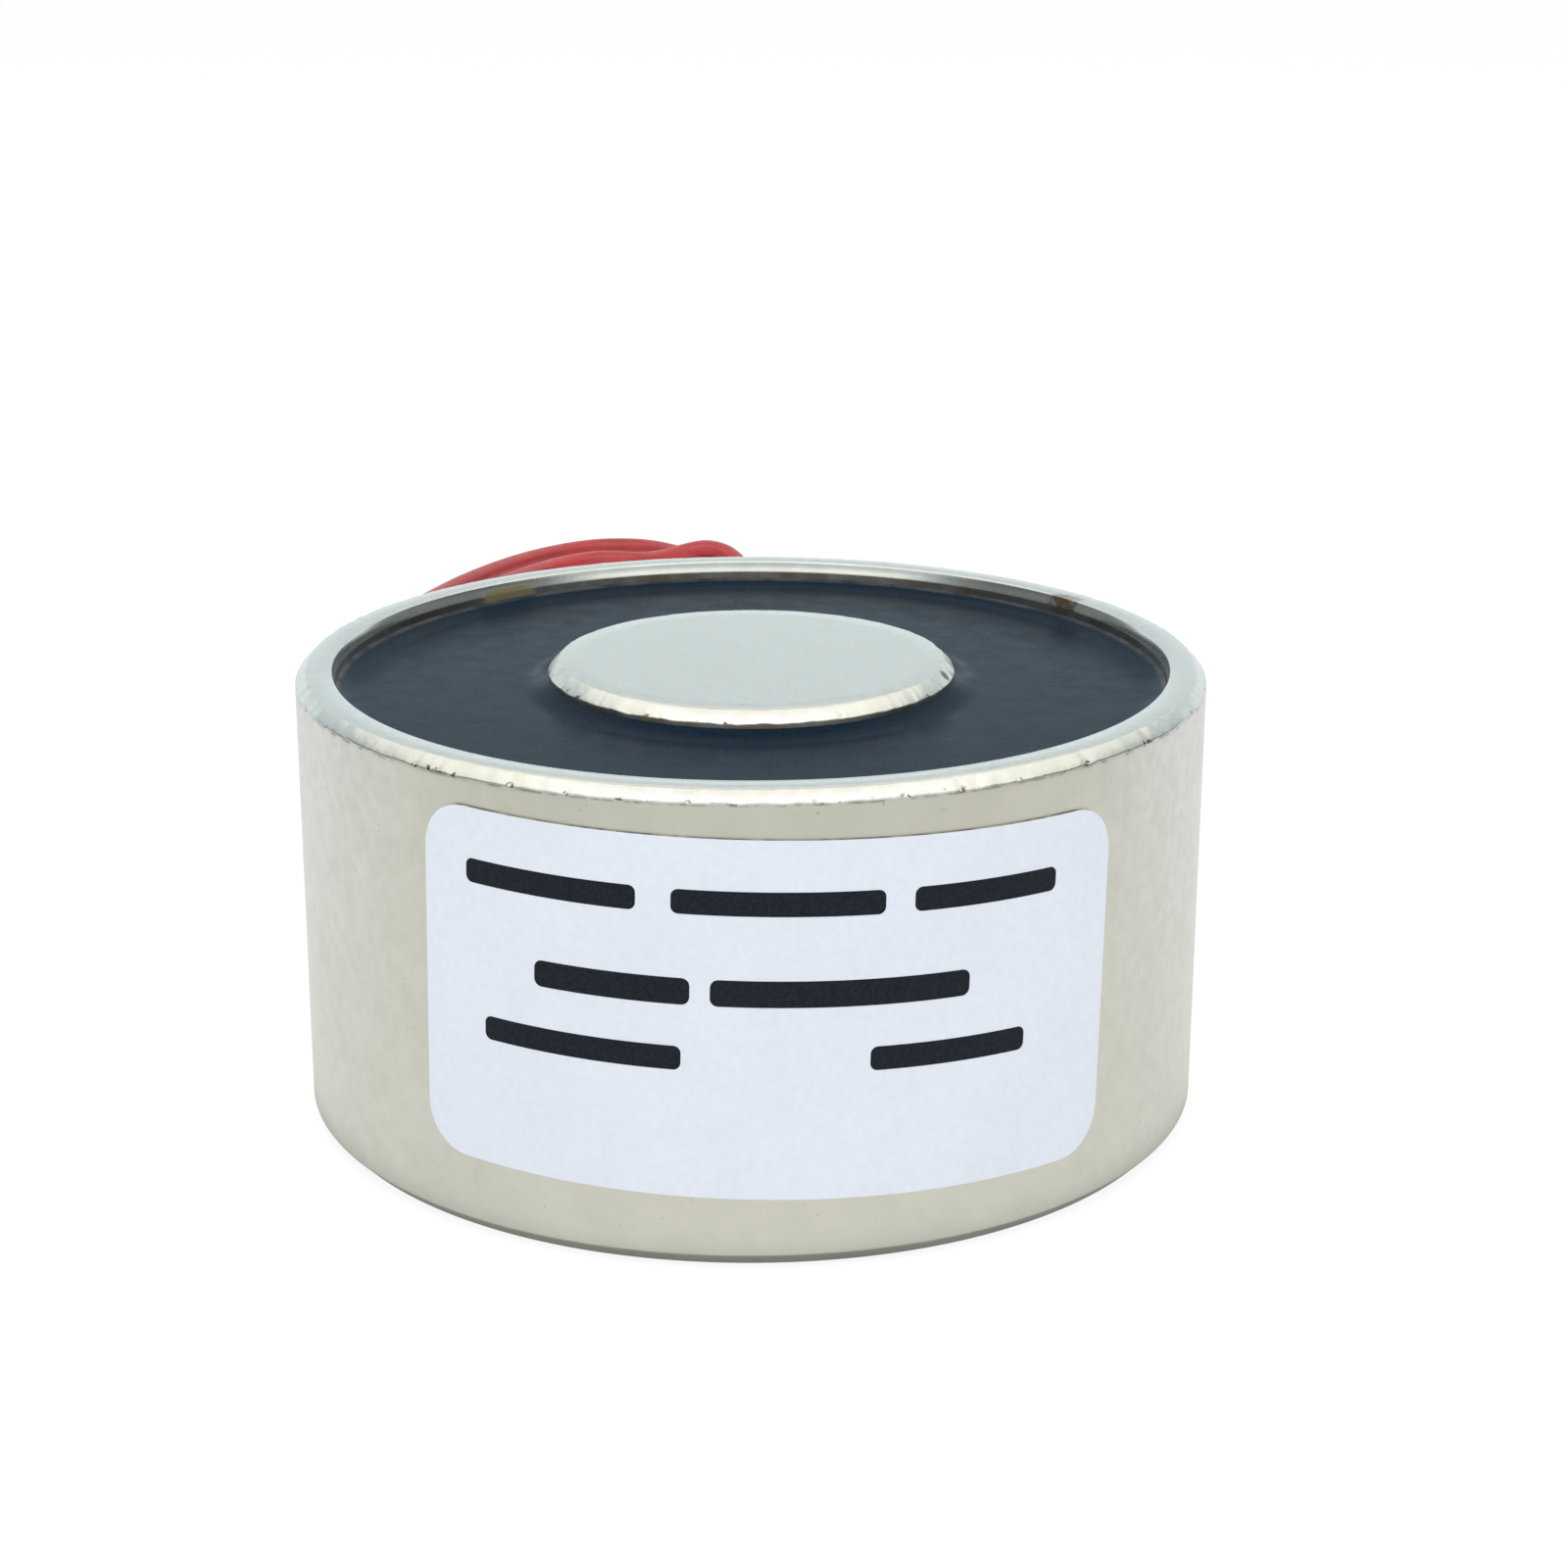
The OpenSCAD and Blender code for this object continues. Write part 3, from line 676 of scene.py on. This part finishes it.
class MAGNET_OT_stage(bpy.types.Operator):
    """Sets up the camera, the soft box, the room light and the floor"""

    bl_idname = "magnet.stage"
    bl_label = "Stage"

    def execute(self, context):
        s = context.scene.magnet_stage
        context.scene.view_settings.view_transform = "Standard"
        self.camera(context, s)
        self.soft_box(context, s)
        self.room(context, s)
        self.floor(context, s)
        return {"FINISHED"}

    def camera(self, context, s):
        data = bpy.data.cameras.new("camera")
        data.lens = s.lens
        data.sensor_width = 36
        data.clip_start = 0.01
        made = bpy.data.objects.new("camera", data)
        context.scene.collection.objects.link(made)
        place, aim = Vector(s.camera), Vector(s.aim)
        turn = (aim - place).to_track_quat("-Z", "Y") @ Quaternion((0, 0, 1), s.roll)
        made.matrix_world = Matrix.LocRotScale(place, turn, None)
        context.scene.camera = made

    def soft_box(self, context, s):
        data = bpy.data.lights.new("soft_box", "AREA")
        data.size = s.box_size
        data.energy = s.box_power
        made = bpy.data.objects.new("soft_box", data)
        context.scene.collection.objects.link(made)
        made.location = (0, -0.3 * s.box_size, s.box_height)

    def room(self, context, s):
        world = bpy.data.worlds.new("room")
        context.scene.world = world
        world.use_nodes = True
        world.node_tree.nodes.clear()
        n = Nodes(world.node_tree)
        path = n.node("ShaderNodeLightPath").outputs
        way = n.node("ShaderNodeTexCoord").outputs["Generated"]
        x, y, z = n.node("ShaderNodeSeparateXYZ", {0: way}).outputs
        aside = n.math("MULTIPLY_ADD", z, -0.35, n.math("ABSOLUTE", x))
        dim = n.fade(aside, 0.62, 0.74, 1.0, 0.2)
        tone = n.vector("SCALE", {0: n.ramp(z, ROOM_TONES), "Scale": dim})
        tone = n.blend(n.fade(y, -0.4, -0.85), tone, n.ramp(z, STRIP_TONES))
        tone = n.blend(path["Is Camera Ray"], tone, WHITE)
        lit = n.node("ShaderNodeBackground", {"Color": (0.97, 0.99, 1.0, 1), "Strength": s.sky})
        shown = n.node("ShaderNodeBackground", {"Color": tone})
        n.show("ShaderNodeOutputWorld", n.seen_directly(path), lit, shown)

    def floor(self, context, s):
        bm = bmesh.new()
        bmesh.ops.create_grid(
            bm, x_segments=1, y_segments=1, size=s.floor_size, matrix=Matrix.Translation((0, 0, -0.02 * MM))
        )
        mesh = bpy.data.meshes.new("floor")
        bm.to_mesh(mesh)
        bm.free()
        made = bpy.data.objects.new("floor", mesh)
        context.scene.collection.objects.link(made)
        material = bpy.data.materials.new("white_floor")
        mesh.materials.append(material)
        material.use_nodes = True
        material.node_tree.nodes.clear()
        n = Nodes(material.node_tree)
        path = n.node("ShaderNodeLightPath").outputs
        where = n.node("ShaderNodeTexCoord").outputs["Object"]
        back = n.node("ShaderNodeSeparateXYZ", {0: where}).outputs["Y"]
        along = n.fade(back, -0.08, 0.03, kind="LINEAR")
        # Painted shadow: the floor's tone in reflections darkens in a ring under the body.
        painted_contact_shadow = n.fade(n.vector("LENGTH", {0: where}, "Value"), 0.020, 0.0212, 0.28, kind="LINEAR")
        tone = n.vector("SCALE", {0: n.ramp(along, FLOOR_TONES), "Scale": painted_contact_shadow})
        tone = n.blend(path["Is Camera Ray"], tone, WHITE)
        matt = n.node("ShaderNodeBsdfDiffuse", {"Color": (0.9, 0.9, 0.89, 1)})
        glow = n.node("ShaderNodeEmission", {"Color": tone, "Strength": 1.08})
        n.show("ShaderNodeOutputMaterial", n.math("MULTIPLY", n.seen_directly(path), 0.8), matt, glow)


def smooth_at(points, u):
    """Point on a smooth curve through points, u points along it."""
    last = len(points) - 1
    i = min(int(u), last - 1)
    t = u - i
    b, c = points[i], points[i + 1]
    a = points[i - 1] if i > 0 else 2 * b - c
    d = points[i + 2] if i < last - 1 else 2 * c - b
    return b + 0.5 * t * (c - a + t * (2 * a - 5 * b + 4 * c - d + t * (3 * b - a - 3 * c + d)))


def smooth(points, steps):
    return [smooth_at(points, k * (len(points) - 1) / steps) for k in range(steps + 1)]


def lead_inside(m, y, side):
    """Run of a lead from its splice, round the bend and out to the wall."""
    across = (m.diameter + m.gap) / 2
    bend = 2 * m.diameter
    turn = m.sleeve_turn
    bend_y = (m.sleeve_axis + bend - math.sin(turn) * (across + bend)) / math.cos(turn)
    start = Vector((
        side * (m.sleeve_axis * math.sin(turn) - m.grip * math.cos(turn)),
        m.sleeve_axis * math.cos(turn) + m.grip * math.sin(turn),
        y.outlet_height,
    ))
    steps = 8
    angles = [(math.pi / 2 - turn) * (1 - k / steps) for k in range(steps + 1)]
    return [start] + [
        Vector((side * (across + bend * (1 - math.cos(a))), bend_y - bend * math.sin(a), y.outlet_height))
        for a in angles
    ]


def lead_outside(m, y, side, route):
    """Points of a lead's free run, from the wall."""
    across = side * (m.diameter + m.gap) / 2
    straight = 2 * m.diameter
    start = [Vector((across, y.radius + straight * k / 2, y.outlet_height)) for k in (1, 2)]
    return start + [Vector((x * MM, y.radius + back * MM, z * MM)) for x, back, z in route]


LEADS = [("lead_1", "lead_tip_1", LEFT, ROUTE_1), ("lead_2", "lead_tip_2", RIGHT, ROUTE_2)]


class MAGNET_OT_leads(bpy.types.Operator):
    """Lays the two insulated leads and twists their bare tips"""

    bl_idname = "magnet.leads"
    bl_label = "Leads"

    def execute(self, context):
        m, y, c = context.scene.magnet_leads, context.scene.magnet_yoke, context.scene.magnet_colours
        cover = red_cover(c)
        tin = plain_metal("tinned_strands", c.tin, 0.32, 0.2 * MM)
        for name, tip_name, side, route in LEADS:
            points = lead_outside(m, y, side, route)
            tip = self.tip(m, tip_name, smooth(points, 32), tin)
            line = lead_inside(m, y, side) + smooth(points, 8 * (len(points) - 1))
            lead = self.lead(context, m, name, line, cover)
        return {"FINISHED"}

    def lead(self, context, m, name, line, material):
        curve = bpy.data.curves.new(name + "_cover", "CURVE")
        curve.dimensions = "3D"
        curve.bevel_depth = m.diameter / 2
        curve.bevel_resolution = 6
        curve.use_fill_caps = True
        spline = curve.splines.new("POLY")
        spline.points.add(len(line) - 1)
        for point, place in zip(spline.points, line):
            point.co = (*place, 1)
        spline.use_smooth = True
        curve.materials.append(material)
        made = bpy.data.objects.new(name + "_cover", curve)
        context.scene.collection.objects.link(made)
        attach(made, "root")
        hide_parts(name)
        return made

    def tip(self, m, name, rings, material):
        """Seven strands, six of them twisted round the first."""
        strand = m.tip / 6
        steps = 24
        bm = bmesh.new()
        for k in range(7):
            out = 2 * strand if k else 0
            place = Matrix.Translation((out * math.cos(k * math.pi / 3), out * math.sin(k * math.pi / 3), 0))
            ring = bmesh.ops.create_circle(bm, cap_ends=True, segments=10, radius=strand, matrix=place)
            faces = list({f for v in ring["verts"] for f in v.link_faces})
            bmesh.ops.spin(
                bm, geom=faces, cent=(0, 0, 0), axis=(0, 0, 1), dvec=(0, 0, m.tip_length / steps),
                angle=m.strand_twist, steps=steps,
            )
        bmesh.ops.remove_doubles(bm, verts=bm.verts[:], dist=1e-9)
        bmesh.ops.recalc_face_normals(bm, faces=bm.faces[:])
        ahead = rings[-1] - rings[-2]
        turn = ahead.to_track_quat("Z", "Y")
        bmesh.ops.transform(bm, matrix=Matrix.LocRotScale(rings[-1], turn, None), verts=bm.verts[:])
        return piece(name + "_strands", bm, [material], [name])


WALL, FACE, EDGE, GROOVE, BACK, LIP = range(6)


class MAGNET_OT_yoke(bpy.types.Operator):
    """Turns the iron cup, rounds and chips its edges and bores the outlet"""

    bl_idname = "magnet.yoke"
    bl_label = "Yoke"

    def execute(self, context):
        y, t, c = context.scene.magnet_yoke, context.scene.magnet_thread, context.scene.magnet_colours
        outline = yoke_outline(y, t)
        bm = spun(outline, y.steps)
        round_edges(bm, [corner for part in ROUNDED for corner in outline[part]], y.edge_round)
        for face in bm.faces:
            face.material_index = self.finish_of(face, y)
        wear_edges(bm, y)
        materials = [
            nickel_wall(c), nickel_face(c), nickel_edge(c, y), nickel_groove(c), nickel_back(c), nickel_lip(c)
        ]
        made = piece("turned_yoke", bm, materials, ["yoke"])
        cut_outlet(made, y)
        return {"FINISHED"}

    def finish_of(self, face, y):
        """Finish of a face of the cup."""
        middle = face.calc_center_median()
        flat = abs(face.normal.z)
        in_groove = 0.98 * y.pole < ring_radius(middle) < y.groove + y.edge_round
        if in_groove and y.floor - y.edge_round < middle.z < y.height - y.lip_chamfer:
            return GROOVE
        if flat > 0.95:
            return FACE if middle.z > y.floor else BACK
        if middle.z > y.floor and abs(ring_radius(middle) - y.groove) < y.lip_width + y.edge_round:
            return LIP
        if flat > 0.2:
            return EDGE
        return WALL


class MAGNET_OT_thread(bpy.types.Operator):
    """Cuts the thread of the mounting hole"""

    bl_idname = "magnet.thread"
    bl_label = "Thread"

    def execute(self, context):
        t, c = context.scene.magnet_thread, context.scene.magnet_colours
        steps = 40
        crest, foot = t.pitch / 8, 0.44 * t.pitch
        start = t.mouth - t.root + foot
        turns = (t.depth - foot - start) / t.pitch
        bm = bmesh.new()
        sink = t.root + 0.02 * MM
        corners = [(sink, -foot), (t.core, -crest), (t.core, crest), (sink, foot)]
        face = bm.faces.new([bm.verts.new((r, 0, start + z)) for r, z in corners])
        total = round(steps * turns)
        bmesh.ops.spin(
            bm, geom=[face], cent=(0, 0, 0), axis=(0, 0, 1), dvec=(0, 0, t.pitch / steps),
            angle=2 * math.pi * total / steps, steps=total,
        )
        bmesh.ops.remove_doubles(bm, verts=bm.verts[:], dist=1e-9)
        bmesh.ops.recalc_face_normals(bm, faces=bm.faces[:])
        tapped = plain_metal("tapped_iron", c.nickel, 0.4, 0.3 * MM)
        piece("mounting_thread", bm, [tapped])
        return {"FINISHED"}


def wrapped_sheet(bm, width, height, corner, thick, radius, where, label):
    """Adds a thin round-cornered sheet, wrapped on the wall at a place on the label."""
    sheet = bmesh.new()
    bmesh.ops.create_grid(sheet, x_segments=1, y_segments=1, size=0.5)
    bmesh.ops.scale(sheet, vec=(width, height, 1), verts=sheet.verts[:])
    bmesh.ops.bevel(
        sheet, geom=sheet.verts[:], offset=corner, offset_type="OFFSET", affect="VERTICES", segments=8,
        profile=0.5, material=-1,
    )
    step = 0.5 * MM
    for k in range(1, int(width / step)):
        bmesh.ops.bisect_plane(
            sheet, geom=sheet.verts[:] + sheet.edges[:] + sheet.faces[:],
            plane_co=(k * step - width / 2, 0, 0), plane_no=(1, 0, 0),
        )
    made = bmesh.ops.extrude_face_region(sheet, geom=sheet.faces[:])["geom"]
    top = [v for v in made if isinstance(v, bmesh.types.BMVert)]
    bmesh.ops.translate(sheet, verts=top, vec=(0, 0, thick))
    bmesh.ops.translate(sheet, verts=sheet.verts[:], vec=(*where, 0))
    bmesh.ops.rotate(sheet, verts=sheet.verts[:], matrix=Matrix.Rotation(-label.slope, 3, "Z"))
    for v in sheet.verts:
        angle = v.co.x / radius + label.turn - math.pi / 2
        out = radius + v.co.z
        v.co = (out * math.cos(angle), out * math.sin(angle), v.co.y)
    bmesh.ops.recalc_face_normals(sheet, faces=sheet.faces[:])
    part = bpy.data.meshes.new("sheet")
    sheet.to_mesh(part)
    sheet.free()
    bm.from_mesh(part)
    bpy.data.meshes.remove(part)


class MAGNET_OT_label(bpy.types.Operator):
    """Wraps the label round the wall and prints its plain fields"""

    bl_idname = "magnet.label"
    bl_label = "Label"

    def execute(self, context):
        n, y, c = context.scene.magnet_label, context.scene.magnet_yoke, context.scene.magnet_colours
        lift = Matrix.Translation((0, 0, y.height - n.drop - n.height / 2))
        paper = bmesh.new()
        wrapped_sheet(paper, n.width, n.height, n.corner, n.thick, y.radius, (0, 0), n)
        bmesh.ops.transform(paper, matrix=lift, verts=paper.verts[:])
        for face in paper.faces:
            middle = face.calc_center_median()
            outward = Vector((middle.x, middle.y, 0)).normalized()
            face.material_index = int(abs(face.normal.dot(outward)) < 0.7)
        piece("paper_label", paper, [label_paper(c), label_edge()], ["label"])
        print_film = bmesh.new()
        for left, right, up, tall in PRINT_FIELDS:
            where = ((left + right) / 2 * MM, up * MM)
            wrapped_sheet(
                print_film, (right - left) * MM, tall * MM, 0.3 * tall * MM,
                n.ink, y.radius + n.thick, where, n,
            )
        bmesh.ops.transform(print_film, matrix=lift, verts=print_film.verts[:])
        piece("label_print", print_film, [label_ink(c)])
        return {"FINISHED"}


class MAGNET_OT_resin(bpy.types.Operator):
    """Gives the cast resin its finish"""

    bl_idname = "magnet.resin"
    bl_label = "Resin"

    def execute(self, context):
        dress("potting", cast_resin(context.scene.magnet_colours))
        return {"FINISHED"}


class MAGNET_OT_coil(bpy.types.Operator):
    """Gives the coil and its splices, inside the resin, their finishes"""

    bl_idname = "magnet.coil"
    bl_label = "Coil"

    def execute(self, context):
        c = context.scene.magnet_colours
        dress("coil_former", plain_plastic("moulded_former", c.former, 0.5, 0.6 * MM))
        copper = wound_copper(c)
        for node in ("winding", "start_tail", "finish_tail"):
            dress(node, copper)
        dress("winding_tape", plain_plastic("polyester_tape", c.tape, 0.3, 1.5 * MM))
        solder = plain_metal("soft_solder", c.tin, 0.3, 0.4 * MM)
        sleeve = plain_plastic("shrunk_sleeve", c.sleeve, 0.55, 0.3 * MM)
        for k in (1, 2):
            dress(f"splice_joint_{k}", solder)
            dress(f"splice_sleeve_{k}", sleeve)
        return {"FINISHED"}


class MAGNET_PT_panel(bpy.types.Panel):
    """Lists the steps that dress the magnet"""

    bl_idname = "MAGNET_PT_panel"
    bl_label = "Holding Electromagnet"
    bl_space_type = "VIEW_3D"
    bl_region_type = "UI"
    bl_category = "Magnet"

    def draw(self, context):
        for step in STEPS:
            self.layout.operator(step.bl_idname)


GROUPS = {
    "magnet_yoke": MagnetYoke,
    "magnet_thread": MagnetThread,
    "magnet_label": MagnetLabel,
    "magnet_leads": MagnetLeads,
    "magnet_colours": MagnetColours,
    "magnet_stage": MagnetStage,
}
STEPS = [
    MAGNET_OT_stage,
    MAGNET_OT_leads,
    MAGNET_OT_yoke,
    MAGNET_OT_thread,
    MAGNET_OT_resin,
    MAGNET_OT_label,
    MAGNET_OT_coil,
]


def register():
    for kind in (*GROUPS.values(), *STEPS, MAGNET_PT_panel):
        bpy.utils.register_class(kind)
    for name, group in GROUPS.items():
        setattr(bpy.types.Scene, name, PointerProperty(type=group))


def unregister():
    for name in GROUPS:
        delattr(bpy.types.Scene, name)
    for kind in (MAGNET_PT_panel, *reversed(STEPS), *reversed(GROUPS.values())):
        bpy.utils.unregister_class(kind)


def main():
    """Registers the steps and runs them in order."""
    register()
    bpy.ops.magnet.stage()
    bpy.ops.magnet.leads()
    bpy.ops.magnet.yoke()
    bpy.ops.magnet.thread()
    bpy.ops.magnet.resin()
    bpy.ops.magnet.label()
    bpy.ops.magnet.coil()


if __name__ == "__main__":
    main()
